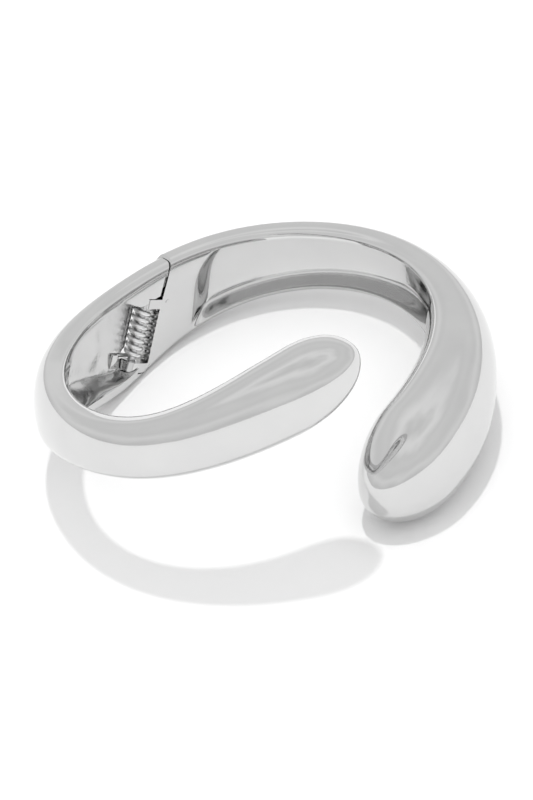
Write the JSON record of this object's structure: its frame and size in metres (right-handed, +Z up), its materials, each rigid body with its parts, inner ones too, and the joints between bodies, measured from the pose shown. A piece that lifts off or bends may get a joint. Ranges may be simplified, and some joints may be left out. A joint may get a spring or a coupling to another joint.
{
  "type": "hinged bangle bracelet",
  "caption": "Polished oval bypass bangle whose two hollow arms end in teardrops and spring shut on a slanted hinge at the back.",
  "frame": {"origin": "on the table under the middle of the bangle's box, as it lies at rest", "axes": "+Z up from the table, +X across the bangle from its left side to the lower arm, +Y from the teardrops' side to the back"},
  "size_m": [0.0688, 0.0646, 0.0398],
  "materials": {
    "polished_arm": "mirror-polished silver-tone plating over a casting",
    "pin_steel": "drawn steel wire, cut and pressed",
    "spring_steel": "bright drawn spring wire"
  },
  "bodies": {
    "lower_half": {"lower_arm": "polished_arm", "torsion_spring": "spring_steel"},
    "upper_half": {"upper_arm": "polished_arm", "hinge_pin": "pin_steel"}
  },
  "joints": [
    {"name": "hinge", "type": "hinge", "parent": "lower_half", "child": "upper_half", "pos_m": [-0.01922, 0.01789, 0.00822], "axis": [-0.2914, -0.4712, -0.8325], "range_deg": [0, 30], "stiffness_Nm_per_rad": 0.05, "springref_deg": -40.11, "deforming": ["torsion_spring"]}
  ]
}
